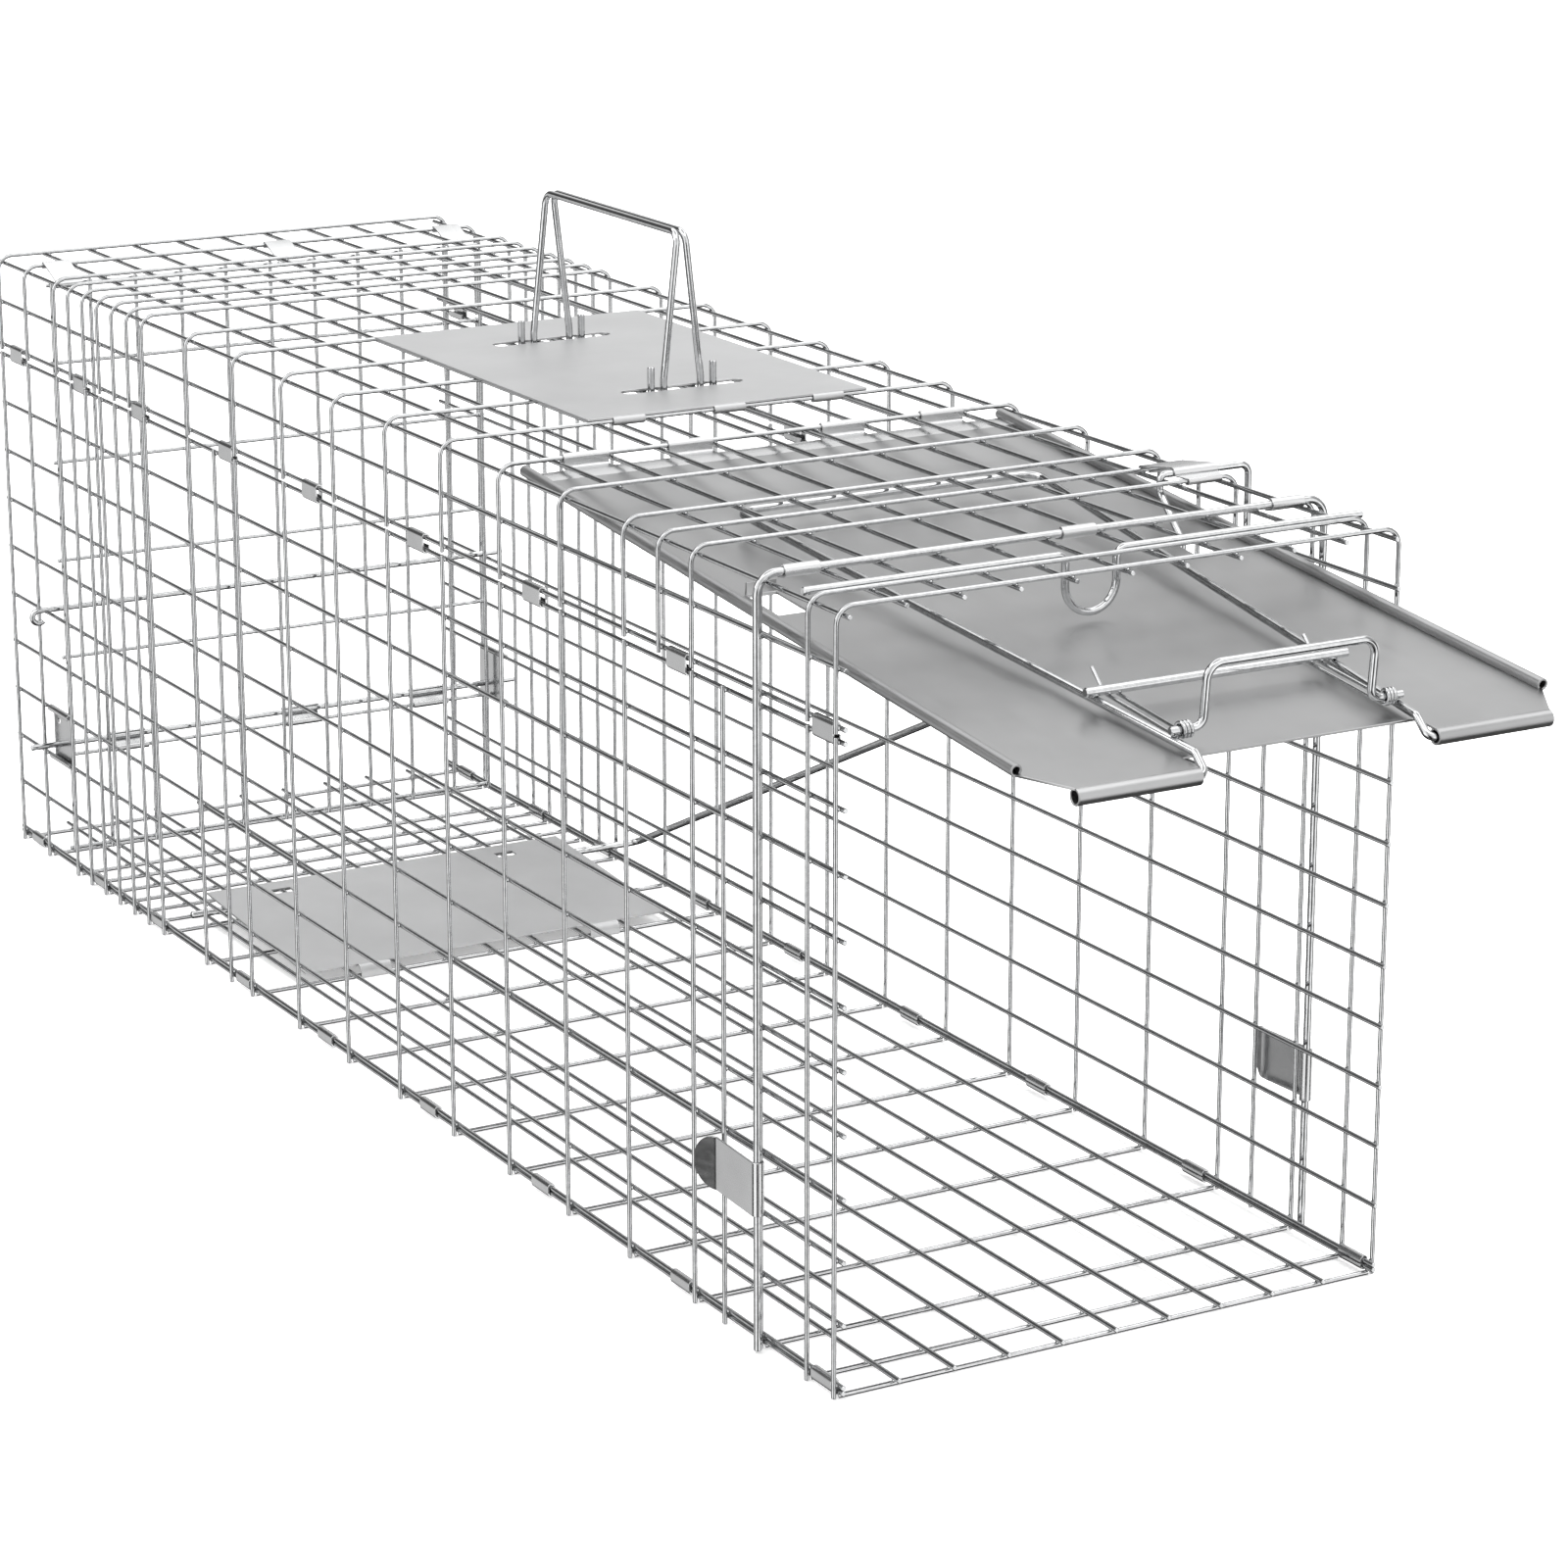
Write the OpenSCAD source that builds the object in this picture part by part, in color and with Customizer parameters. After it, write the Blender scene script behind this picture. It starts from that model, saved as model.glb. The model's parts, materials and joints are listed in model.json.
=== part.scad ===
/* [Cage] */
// Length of the cage, from the front hoop to the last hoop
cage_l = 826; // [700:1:1000]
// Width across the outside of the side panels
cage_w = 250; // [230:1:280]
// Height to the top of the top panel's hoops
cage_h = 305; // [280:1:340]
// Diameter of the mesh wire
mesh_d = 2; // [1.6:0.1:2.4]
// Diameter of the frame, bail and handle wire
frame_d = 3.2; // [2.6:0.1:3.6]
// Height of the side panels' topmost lengthwise wire
side_h = 254; // [240:1:260]

/* [Door] */
// Distance from the door's hinge to the roll on its free edge
door_l = 391; // [380:1:394]
// Width of the door over its rolled edges
door_w = 231; // [200:1:234]
// How far the open door slopes down from level, in degrees
door_slope = 5.2; // [4.5:0.1:8]
// Thickness of the door's sheet
door_t = 1; // [0.6:0.1:1.2]
// Length of the locking bail, from its pins to its cross bar
bail_l = 293; // [270:1:300]

/* [Trip] */
// Width of the trip pan
pan_w = 192; // [160:1:200]
// Length of the trip pan
pan_l = 117; // [90:1:125]
// Diameter of the trigger rod
trigger_d = 3.5; // [3:0.1:3.6]

/* [Carrying] */
// Width of the guard plate under the carry handle
guard_w = 135.6; // [120:0.1:150]
// Length of the guard plate
guard_l = 209; // [190:1:215]
// Height of the carry handle's grip above the floor
grip_z = 373; // [360:1:400]

/* [Hidden] */
$fn = 32;

zinc = [0.80, 0.81, 0.82];
sheet_grey = [0.70, 0.71, 0.71];

mesh_r = mesh_d / 2;
frame_r = frame_d / 2;
trigger_r = trigger_d / 2;
// Gap between welded wires, so that each wire stays a solid of its own
weld_gap = 0.02;
// Gap between a clip and the fixed wire that it is pressed on
snug = 0.05;
// Gap between a wire and the curl that it turns in
running = 0.08;
clip_t = 0.8;
// How far a straight runs into a bend, and how much thicker the wire is in the bend
bend_overlap = 0.25;
bend_swell = 0.03;

// Places of the hoops, measured from the front hoop
hoop_front = [0, 20, 55];
hoop_pitch = 53.4;
hoop_mid = [for (i = [0:7]) 214.5 + i * hoop_pitch];
hoop_rear_pitch = 18.5;
hoop_rear = [for (i = [0:6]) 641 + i * hoop_rear_pitch];
hinge_y = hoop_mid[1];
guard_hoop_y = hoop_mid[2];
pan_hinge_y = hoop_mid[6];
catch_hoop_y = 107;
bracket_hoop_y = 133;
hanger_hoop_y = 791;
both_y = concat(hoop_front, [catch_hoop_y, 161], hoop_mid, hoop_rear, [hanger_hoop_y, cage_l]);
top_y = concat(both_y, [bracket_hoop_y]);
side_y = concat(both_y, [83, 559]);

// Wire lines of the panels
wall_x = cage_w / 2 - mesh_r;
rail_x = wall_x - mesh_d - weld_gap;
hoop_z = cage_h - mesh_r;
rail_z = hoop_z - mesh_d - weld_gap;
floor_rail_z = mesh_r + mesh_d + weld_gap;
side_rail_low = 5.2;
side_rail_pitch = (side_h - side_rail_low) / 10;
top_rail_pitch = 24.2;
top_leg_rails = [side_h + 5.2, side_h + 27];
hoop_bend = 7;
rail_front = -4;
rail_rear = cage_l + 7;

// Front frame and its latch clips
frame_y = hoop_front[2] - 3;
frame_z = hoop_z + 1.2;
frame_x = cage_w / 2 + 2;
latch_z = 67;
latch_h = 21.6;
latch_leaf = [frame_x + 0.5, 82.6];
thumb_tip = [frame_x + 4.6, 93.1];

// Door, in its own frame: hinge wire at the origin, free edge towards -Y
door_roll_r = 3.25;
door_roll_z = -7.2;
door_sheet_z = -4.5;
door_edge_r = 2.4;
door_roll_in = 50.5;
door_roll_out = 101.5;
door_tabs = [-3.5, -1.5, 1.5, 3.5] * top_rail_pitch;
door_tab_w = 20.5;
catch_x = 90;
catch_foot = [94.5, 283];
door_holes = [-98.5, catch_x];
door_hole_w = 13;
door_hole_y = [-195, -170];
door_flap_h = 6;
catch_y = catch_hoop_y + 4;
catch_z = hoop_z + 2.8;
catch_r = 1.5;
catch_out_x = 132.5;
lever_x = catch_out_x + 0.6;
lever_tip = [catch_y + 4.5, 251];

// Locking bail, in the door's frame
arm_front_x = 47.5;
arm_rear_x = 69.5;
bail_cross = [-door_l + bail_l, 3.4];
bail_jog = [-383.5, -1.4];
handle_y = -371;
handle_rise = 23;
handle_half = 36;
lock_bar_y = -328;
lock_bar_r = 1.9;
spring_x = 42.5;
spring_wire = 1.4;

// Carry handle loops turn on the two top rails beside the middle of the guard plate
grip_x = top_rail_pitch / 2;
loop_axis = [0, top_rail_pitch];
loop_hook = 3.1;
loop_stub = 14;
loop_y = [362.5, 485.7];
guard_y = guard_hoop_y - 0.8;
guard_z = cage_h + 0.1;

// Rear closure
rear_y = 774.5;
rod_y = 779;
rod_r = 1.5;
lower_rod_z = 62;
upper_rod_z = side_rail_low + 5 * side_rail_pitch + mesh_r + rod_r + 0.35;
rod_end = cage_w / 2 + 11;
rear_rails = [8, 57, 108, 158, 208, 258, 297];

// Trip pan and trigger rod
pan_hinge_z = mesh_r;
rod_pan_y = 635;
rod_pan_z = 9.8;

// The part's origin is under the middle of its bounding box
door_front_y = hinge_y - door_l * cos(door_slope) - door_roll_z * sin(door_slope) - door_roll_r;
y_mid = (door_front_y + rail_rear) / 2;

// ---- Helpers ----

module place() {
    translate([0, -y_mid, 0]) children();
}

// Moves the door's frame to the open door
module place_door() {
    place() translate([0, hinge_y, hoop_z]) rotate([door_slope, 0, 0]) children();
}

function unit(v) = v / norm(v);
function side_of(v) = abs(v[2]) < 0.9 ? unit(cross([0, 0, 1], v)) : unit(cross([1, 0, 0], v));

// Maps the X, Y and Z directions to u, v and w at the point p
module basis(u, v, w, p) {
    multmatrix([
        [u[0], v[0], w[0], p[0]],
        [u[1], v[1], w[1], p[1]],
        [u[2], v[2], w[2], p[2]],
        [0, 0, 0, 1]
    ]) children();
}

// Straight round wire between two points
module rod(a, b, r) {
    w = unit(b - a);
    u = side_of(w);
    basis(u, cross(w, u), w, a) cylinder(r = r, h = norm(b - a));
}

function turn(p, i) = acos(max(-1, min(1, unit(p[i] - p[i - 1]) * unit(p[i + 1] - p[i]))));
function bend_at(bend, i) = is_list(bend) ? bend[i] : bend;
function setback(p, i, bend) = i == 0 || i == len(p) - 1 ? 0 : bend_at(bend, i) * tan(turn(p, i) / 2);

// Round wire along a list of points, with every corner bent to one radius, or each to its own from a
// list. The straights run a little way into the bends, whose wire is a hair thicker, as real bends are.
module wire(p, r, bend) {
    last = len(p) - 1;
    for (i = [0:last - 1]) {
        u = unit(p[i + 1] - p[i]);
        from = i == 0 ? 0 : setback(p, i, bend) - bend_overlap;
        to = i == last - 1 ? 0 : setback(p, i + 1, bend) - bend_overlap;
        rod(p[i] + u * from, p[i + 1] - u * to, r);
    }
    for (i = [1:last - 1]) {
        u = unit(p[i] - p[i - 1]);
        v = unit(p[i + 1] - p[i]);
        start = p[i] - u * setback(p, i, bend);
        inward = unit(v - (u * v) * u);
        centre = start + inward * bend_at(bend, i);
        basis(-inward, u, cross(-inward, u), centre)
            rotate_extrude(angle = turn(p, i)) translate([bend_at(bend, i), 0]) circle(r = r + bend_swell);
    }
}

// Wire along Y or X at a place on the other two axes
module rail(x, z, from, to, r) {
    rod([x, from, z], [x, to, z], r);
}

module bar(y, z, half, r) {
    rod([-half, y, z], [half, y, z], r);
}

// Flat outline of a bent strip of thickness t along a list of points
function normal2(a, b) = unit([-(b - a)[1], (b - a)[0]]);
function miter(p, i) = i == 0 ? normal2(p[0], p[1])
    : i == len(p) - 1 ? normal2(p[i - 1], p[i])
    : let (m = unit(normal2(p[i - 1], p[i]) + normal2(p[i], p[i + 1]))) m / (m * normal2(p[i], p[i + 1]));
module strip(p, t) {
    last = len(p) - 1;
    polygon(concat(
        [for (i = [0:last]) p[i] + miter(p, i) * t / 2],
        [for (i = [last:-1:0]) p[i] - miter(p, i) * t / 2]
    ));
}

// Extrudes a profile drawn in Y and Z along X, centred on x
module along_x(x, length) {
    translate([x - length / 2, 0, 0]) rotate([90, 0, 90]) linear_extrude(height = length) children();
}

// Extrudes a profile drawn in X and Z along Y, centred on y
module along_y(y, length) {
    translate([0, y + length / 2, 0]) rotate([90, 0, 0]) linear_extrude(height = length) children();
}

module facing_x(x) {
    translate([x, 0, 0]) rotate([90, 0, 90]) children();
}

module facing_y(y) {
    translate([0, y, 0]) rotate([90, 0, 0]) children();
}

// Curled strip of a given width, centred on Z = 0: round eyes joined by the outlines given as children.
// list holds each eye as [centre, radius].
module eyes(width, list, t) {
    difference() {
        union() {
            for (e = list) translate(e[0]) cylinder(r = e[1] + t, h = width, center = true);
            for (k = [0:$children - 1]) linear_extrude(height = width, center = true) children(k);
        }
        for (e = list) translate(e[0]) cylinder(r = e[1], h = width + 2, center = true);
    }
}

// Profile of the clip that presses two parallel wires together, one above the other
module pair_profile(x, low, high) {
    r = mesh_r + snug;
    difference() {
        union() {
            translate([x, low]) circle(r = r + clip_t);
            translate([x, high]) circle(r = r + clip_t);
            translate([x - r - clip_t, low]) square([2 * (r + clip_t), high - low]);
        }
        translate([x, low]) circle(r = r);
        translate([x, high]) circle(r = r);
        translate([x - r, low]) square([2 * r, high - low]);
        translate([x < 0 ? x : x - 2 * r, low + (high - low) * 0.35]) square([2 * r, (high - low) * 0.3]);
    }
}

clip_l = 15;
clip_y = [10, 120, 241, 348, 455, 547, 650.2, 724.3, 808.5];

module pair_clips(x, low, high) {
    place() for (y = clip_y) along_y(y, clip_l) pair_profile(x, low, high);
}

// ---- Cage panels ----

module bottom_panel() {
    color(zinc) place() {
        for (y = both_y) bar(y, mesh_r, rail_x, mesh_r);
        for (i = [-5:5]) rail(i * rail_x / 5, floor_rail_z, rail_front, rail_rear, mesh_r);
    }
}

module side_panel(side) {
    place() {
        for (y = side_y) rod([side * wall_x, y, 0.2], [side * wall_x, y, side_h + 2], mesh_r);
        for (i = [0:10])
            rail(side * rail_x, side_rail_low + i * side_rail_pitch, rail_front, rail_rear, mesh_r);
    }
}

module left_side_panel() {
    color(zinc) side_panel(-1);
}

module right_side_panel() {
    color(zinc) side_panel(1);
}

module top_panel() {
    leg_z = side_h + 3.2;
    corner = hoop_bend - (hoop_bend - mesh_d - weld_gap - bend_swell) * cos(45);
    color(zinc) place() {
        for (y = top_y)
            wire([[-wall_x, y, leg_z], [-wall_x, y, hoop_z], [wall_x, y, hoop_z], [wall_x, y, leg_z]],
                mesh_r, hoop_bend);
        for (i = [-4:4]) rail(i * top_rail_pitch, rail_z, rail_front, rail_rear, mesh_r);
        for (side = [-1, 1]) rail(side * (wall_x - corner), hoop_z - corner, rail_front, rail_rear, mesh_r);
        for (side = [-1, 1], z = top_leg_rails) rail(side * rail_x, z, rail_front, rail_rear, mesh_r);
    }
}

module left_seam_clips() {
    color(sheet_grey) pair_clips(-rail_x, side_h, top_leg_rails[0]);
}

module right_seam_clips() {
    color(sheet_grey) pair_clips(rail_x, side_h, top_leg_rails[0]);
}

module left_floor_clips() {
    color(sheet_grey) pair_clips(-rail_x, floor_rail_z, side_rail_low);
}

module right_floor_clips() {
    color(sheet_grey) pair_clips(rail_x, floor_rail_z, side_rail_low);
}

// ---- Front frame ----

stop_half = 124;
stop_loop_r = 11.4;
stop_loop_depth = 23;

module front_stop_bar() {
    y = hoop_front[1] + 4;
    z = rail_z + mesh_r + frame_r + weld_gap;
    low = z - stop_loop_depth;
    color(zinc) place()
        wire([[-stop_half, y, z], [-stop_loop_r, y, z], [-stop_loop_r, y, low],
            [stop_loop_r, y, low], [stop_loop_r, y, z], [stop_half, y, z]],
            frame_r, [0, 3.5, stop_loop_r, stop_loop_r, 3.5, 0]);
}

module front_hinge_sleeves() {
    hoop = [hoop_front[2], hoop_z];
    color(sheet_grey) place()
        for (x = [-4.488, 0.5, 4.488] * top_rail_pitch)
            facing_x(x)
                eyes(15, [[hoop, mesh_r + snug], [[frame_y, frame_z], frame_r + running]], clip_t)
                    strip([hoop + [0, 1.4], [frame_y, frame_z + 2]], clip_t);
}

module front_frame() {
    foot = 1;
    color(zinc) place()
        wire([[-frame_x, frame_y, foot], [-frame_x, frame_y, frame_z],
            [frame_x, frame_y, frame_z], [frame_x, frame_y, foot]], frame_r, 8);
}

module latch_clip(side) {
    eye = [side * frame_x, frame_y];
    plate_x = frame_x + frame_r + running + clip_t / 2 + 0.1;
    place() translate([0, 0, latch_z])
        eyes(latch_h, [[eye, frame_r + running]], clip_t)
            strip([[side * plate_x, frame_y - 0.5], [side * latch_leaf[0], latch_leaf[1]],
                [side * thumb_tip[0], thumb_tip[1]]], clip_t);
}

module left_latch_clip() {
    color(sheet_grey) latch_clip(-1);
}

module right_latch_clip() {
    color(sheet_grey) latch_clip(1);
}

// ---- Door ----

module door_outline() {
    half = door_w / 2 - door_edge_r;
    corner = -door_l + 19;
    polygon([[-half, -5], [-half, corner], [-door_roll_out, -door_l], [-door_roll_in, -door_l],
        [-door_roll_in, -door_l + 11], [door_roll_in, -door_l + 11], [door_roll_in, -door_l],
        [door_roll_out, -door_l], [half, corner], [half, -5]]);
}

module door_panel() {
    edge_x = door_w / 2 - door_edge_r;
    edge_z = door_sheet_z - door_t / 2 + door_edge_r;
    color(sheet_grey) place_door() {
        difference() {
            union() {
                translate([0, 0, door_sheet_z - door_t / 2]) linear_extrude(height = door_t) {
                    door_outline();
                    for (x = door_tabs) translate([x - door_tab_w / 2, -20]) square([door_tab_w, 18.5]);
                }
                for (side = [-1, 1])
                    rod([side * door_roll_in, -door_l, door_roll_z],
                        [side * door_roll_out, -door_l, door_roll_z], door_roll_r);
                for (side = [-1, 1])
                    rod([side * edge_x, -2.5, edge_z], [side * edge_x, -door_l + 20, edge_z], door_edge_r);
            }
            for (side = [-1, 1])
                rod([side * (door_roll_in - 1), -door_l, door_roll_z],
                    [side * (door_roll_out + 1), -door_l, door_roll_z], frame_r + running);
            for (side = [-1, 1])
                rod([side * edge_x, -1.5, edge_z], [side * edge_x, -door_l + 19, edge_z], door_edge_r - 0.8);
            for (x = door_holes)
                translate([x - door_hole_w / 2, door_hole_y[0], door_sheet_z - 2])
                    cube([door_hole_w, door_hole_y[1] - door_hole_y[0], 4]);
        }
        translate([door_holes[0] - door_hole_w / 2, door_hole_y[1] - 0.2, door_sheet_z - door_t / 2])
            cube([door_hole_w, door_t, door_flap_h]);
        for (x = door_tabs) facing_x(x)
            eyes(door_tab_w, [[[0, 0], mesh_r + running]], clip_t)
                translate([-mesh_r - running - clip_t, door_sheet_z - door_t / 2])
                    square([clip_t, -door_sheet_z + door_t / 2]);
    }
}

module lock_bail() {
    color(zinc) place_door()
        wire([[-arm_front_x - 22, -door_l, door_roll_z], [-arm_front_x, -door_l, door_roll_z],
            concat([-arm_front_x], bail_jog), concat([-arm_rear_x], bail_cross),
            concat([arm_rear_x], bail_cross), concat([arm_front_x], bail_jog),
            [arm_front_x, -door_l, door_roll_z], [arm_front_x + 22, -door_l, door_roll_z]], frame_r, 3.2);
}

// Height of the bail's arms above the hinge plane at a place along the door
function arm_z(y) = bail_jog[1]
    + (y - bail_jog[0]) * (bail_cross[1] - bail_jog[1]) / (bail_cross[0] - bail_jog[0]);
handle_z = arm_z(handle_y) + 2 * frame_r + 0.3;

module lock_bar() {
    color(zinc) place_door()
        bar(lock_bar_y, arm_z(lock_bar_y) + frame_r + lock_bar_r + weld_gap, 57, lock_bar_r);
}

module lift_handle() {
    top = handle_z + handle_rise;
    color(zinc) place_door() {
        wire([[-50, handle_y, handle_z], [-handle_half, handle_y, handle_z], [-handle_half, handle_y, top],
            [handle_half, handle_y, top], [handle_half, handle_y, handle_z], [50, handle_y, handle_z]],
            frame_r, 4);
    }
}

// Torsion spring round the handle's foot: its two legs run back under the lock bar, and the outer one
// turns up behind the bar
module handle_spring(side) {
    spring_r = spring_wire / 2;
    coil_r = frame_r + 0.35 + spring_r;
    turns = 3;
    step = spring_wire - 0.1;
    coil_x = side * (spring_x + 1.5);
    coil_low = handle_z - coil_r + 0.2;
    inner_x = coil_x - side * (step - 0.25);
    outer_x = coil_x + side * (step - 0.25);
    under_bar = arm_z(lock_bar_y) + frame_r - spring_r - 0.05;
    behind = lock_bar_y + lock_bar_r + spring_r + 1;
    place_door() {
        translate([coil_x, handle_y, handle_z]) rotate([0, 90, 0]) rotate_extrude()
            for (i = [0:turns - 1]) translate([coil_r, (i - 1) * step]) circle(r = spring_r);
        rod([inner_x, handle_y, coil_low], [inner_x, behind + 1, under_bar], spring_r);
        wire([[outer_x, handle_y, coil_low], [outer_x, behind, under_bar], [outer_x, behind, under_bar + 6]],
            spring_r, 1.6);
    }
}

module left_handle_spring() {
    color(zinc) handle_spring(-1);
}

module right_handle_spring() {
    color(zinc) handle_spring(1);
}

// ---- Catch and trip ----

module catch_bracket() {
    rear = [bracket_hoop_y, hoop_z];
    front = [catch_hoop_y, hoop_z];
    pin = [catch_y, catch_z];
    color(sheet_grey) place()
        facing_x(108)
            eyes(16, [[rear, mesh_r + snug], [front, mesh_r + snug], [pin, catch_r + running]], clip_t) {
                strip([rear + [-0.2, mesh_r + 0.6], pin + [0.3, catch_r + 0.6]], clip_t);
                strip([front + [-1, 0.9], pin + [-1.9, 0.2]], clip_t);
            }
}

module door_catch() {
    color(zinc) place()
        wire([concat([catch_x], catch_foot - [0, 4]), concat([catch_x], catch_foot), [catch_x, catch_y, 300],
            [catch_x, catch_y, catch_z], [catch_out_x, catch_y, catch_z], [catch_out_x, catch_y, 247]],
            catch_r, [0, 2, 4, 2.4, 4, 0]);
}

module trip_pan() {
    rise = rod_pan_z + trigger_r + 0.12 - 5.3;
    run = rod_pan_y - pan_hinge_y;
    slope = atan(rise / run);
    color(sheet_grey) place() {
        difference() {
            translate([-pan_w / 2, pan_hinge_y + 2, 5.3]) rotate([slope, 0, 0]) cube([pan_w, pan_l, 1]);
            for (x = [-61, 61]) translate([x - 5, rod_pan_y + 3, 5]) cube([10, 6, 12]);
        }
        for (x = [-61, 61]) {
            along_x(x, 16) difference() {
                union() {
                    translate([pan_hinge_y, pan_hinge_z]) circle(r = mesh_r + running + clip_t);
                    translate([pan_hinge_y, pan_hinge_z + 1.2]) square([clip_t, 3.6]);
                    translate([pan_hinge_y, pan_hinge_z + 3.9]) square([4, 1]);
                }
                translate([pan_hinge_y, pan_hinge_z]) circle(r = mesh_r + running);
                translate([pan_hinge_y - 3, -3]) square([6, 3.15]);
            }
            along_x(x, 8) difference() {
                translate([rod_pan_y, rod_pan_z]) circle(r = trigger_r + 0.05 + clip_t);
                translate([rod_pan_y, rod_pan_z]) circle(r = trigger_r + 0.05);
                translate([rod_pan_y - 5, rod_pan_z - 5]) square([5, 5.6]);
            }
        }
    }
}

module trigger_rod() {
    color(zinc) place()
        wire([[-112, rod_pan_y, rod_pan_z], [lever_x, rod_pan_y, rod_pan_z],
            [lever_x, lever_tip[0], lever_tip[1]]], trigger_r, 5);
}

// ---- Carrying ----

slot_half = 29.4;
slot_w = 8;
guard_tabs = [-1.5, 0.5, 2.5] * top_rail_pitch;

module guard_plate() {
    color(sheet_grey) place() {
        translate([0, 0, guard_z]) linear_extrude(height = 1) difference() {
            translate([grip_x - guard_w / 2, guard_y]) square([guard_w, guard_l]);
            for (y = loop_y, end = [-1, 1]) {
                translate([grip_x - slot_half + slot_w / 2, y - slot_w / 2])
                    square([2 * slot_half - slot_w, slot_w]);
                translate([grip_x + end * (slot_half - slot_w / 2), y]) circle(r = slot_w / 2);
            }
        }
        for (x = guard_tabs)
            along_x(x, 15) difference() {
                union() {
                    translate([guard_hoop_y, hoop_z]) circle(r = mesh_r + snug + 1);
                    translate([guard_y, guard_z]) square([5, 1]);
                }
                translate([guard_hoop_y, hoop_z]) circle(r = mesh_r + snug);
                translate([guard_hoop_y, hoop_z - 4]) square([4, 5]);
            }
    }
}

// One loop of the carry handle, hooked round the rail at x; side is -1 for the left loop
module carry_loop(x, side) {
    top_x = grip_x + side * (frame_r + 0.2);
    leg = x - side * loop_hook;
    stub = x + side * loop_hook;
    lean_z = rail_z + 8;
    low_z = rail_z - loop_hook;
    hook_bend = loop_hook - 0.1;
    function hook(y) = [[stub, y, rail_z + loop_stub], [stub, y, low_z], [leg, y, low_z], [leg, y, lean_z]];
    function back(list) = [for (i = [len(list) - 1:-1:0]) list[i]];
    grip = [[top_x, loop_y[0], grip_z], [top_x, loop_y[1], grip_z]];
    bends = [0, hook_bend, hook_bend, 12, 5.4, 5.4, 12, hook_bend, hook_bend, 0];
    place() wire(concat(hook(loop_y[0]), grip, back(hook(loop_y[1]))), frame_r, bends);
}

module left_carry_loop() {
    color(zinc) carry_loop(loop_axis[0], -1);
}

module right_carry_loop() {
    color(zinc) carry_loop(loop_axis[1], 1);
}

// ---- Rear closure ----

module rear_panel() {
    post_y = rear_y - mesh_d - weld_gap;
    color(zinc) place() {
        for (i = [-4:4]) rod([i * top_rail_pitch, post_y, 6], [i * top_rail_pitch, post_y, 299], mesh_r);
        for (x = [-117, 117]) rod([x, post_y, 6], [x, post_y, 299], mesh_r);
        for (z = rear_rails) bar(rear_y, z, 119, mesh_r);
    }
}

module rear_hanger_clips() {
    top = rear_rails[len(rear_rails) - 1];
    color(sheet_grey) place()
        for (x = [-107, top_rail_pitch / 2, 107])
            facing_x(x)
                eyes(14, [[[hanger_hoop_y, hoop_z], mesh_r + snug], [[rear_y, top], mesh_r + snug]], clip_t)
                    strip([[hanger_hoop_y - 1.45, hoop_z], [rear_y + 1.45, top]], clip_t);
}

module rear_rod_clips() {
    rod_at = [rod_y, lower_rod_z];
    rail_at = [rear_y, rear_rails[1]];
    color(sheet_grey) place()
        for (x = [-3.5, 0.5, 3.5] * top_rail_pitch)
            facing_x(x)
                eyes(20, [[rod_at, rod_r + running], [rail_at, mesh_r + snug]], clip_t)
                    strip([rod_at - [1.2, 1.2], rail_at + [1, 1]], clip_t);
}

module rod_plate(side) {
    low = side_rail_low + 2 * side_rail_pitch;
    high = low + side_rail_pitch;
    x = side * (rail_x - 1.9);
    plate_l = 26;
    holes = [lower_rod_z, lower_rod_z + 12];
    place() difference() {
        facing_y(773)
            eyes(plate_l, [for (z = [low, high]) [[side * rail_x, z], mesh_r + snug]], clip_t)
                translate([x - 0.5, low]) square([1, high - low]);
        for (z = holes) rod([x - 3, rod_y, z], [x + 3, rod_y, z], rod_r + running);
    }
}

module left_rod_plate() {
    color(sheet_grey) rod_plate(-1);
}

module right_rod_plate() {
    color(sheet_grey) rod_plate(1);
}

module lower_lock_rod() {
    color(zinc) place() rod([-rod_end, rod_y, lower_rod_z], [rod_end, rod_y, lower_rod_z], rod_r);
}

// The rod's left end curls down into an open eye
module upper_lock_rod() {
    eye_r = 3.2;
    eye_x = -cage_w / 2 - 4;
    right_x = cage_w / 2 + 5;
    color(zinc) place() {
        rod([eye_x - bend_overlap, rod_y, upper_rod_z], [right_x, rod_y, upper_rod_z], rod_r);
        translate([eye_x, rod_y, upper_rod_z - eye_r]) rotate([90, 0, 0]) rotate([0, 0, 90])
            rotate_extrude(angle = 230) translate([eye_r, 0]) circle(r = rod_r + bend_swell);
    }
}

bottom_panel();
left_side_panel();
right_side_panel();
top_panel();
left_seam_clips();
right_seam_clips();
left_floor_clips();
right_floor_clips();
front_stop_bar();
front_hinge_sleeves();
front_frame();
left_latch_clip();
right_latch_clip();
door_panel();
lock_bail();
lock_bar();
lift_handle();
left_handle_spring();
right_handle_spring();
catch_bracket();
door_catch();
trip_pan();
trigger_rod();
guard_plate();
left_carry_loop();
right_carry_loop();
rear_panel();
rear_hanger_clips();
rear_rod_clips();
left_rod_plate();
right_rod_plate();
lower_lock_rod();
upper_lock_rod();
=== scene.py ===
"""Looks of the live catch trap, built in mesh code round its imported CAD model."""

import json
import math
import random

import bpy
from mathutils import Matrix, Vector
from mathutils.geometry import delaunay_2d_cdt


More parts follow.
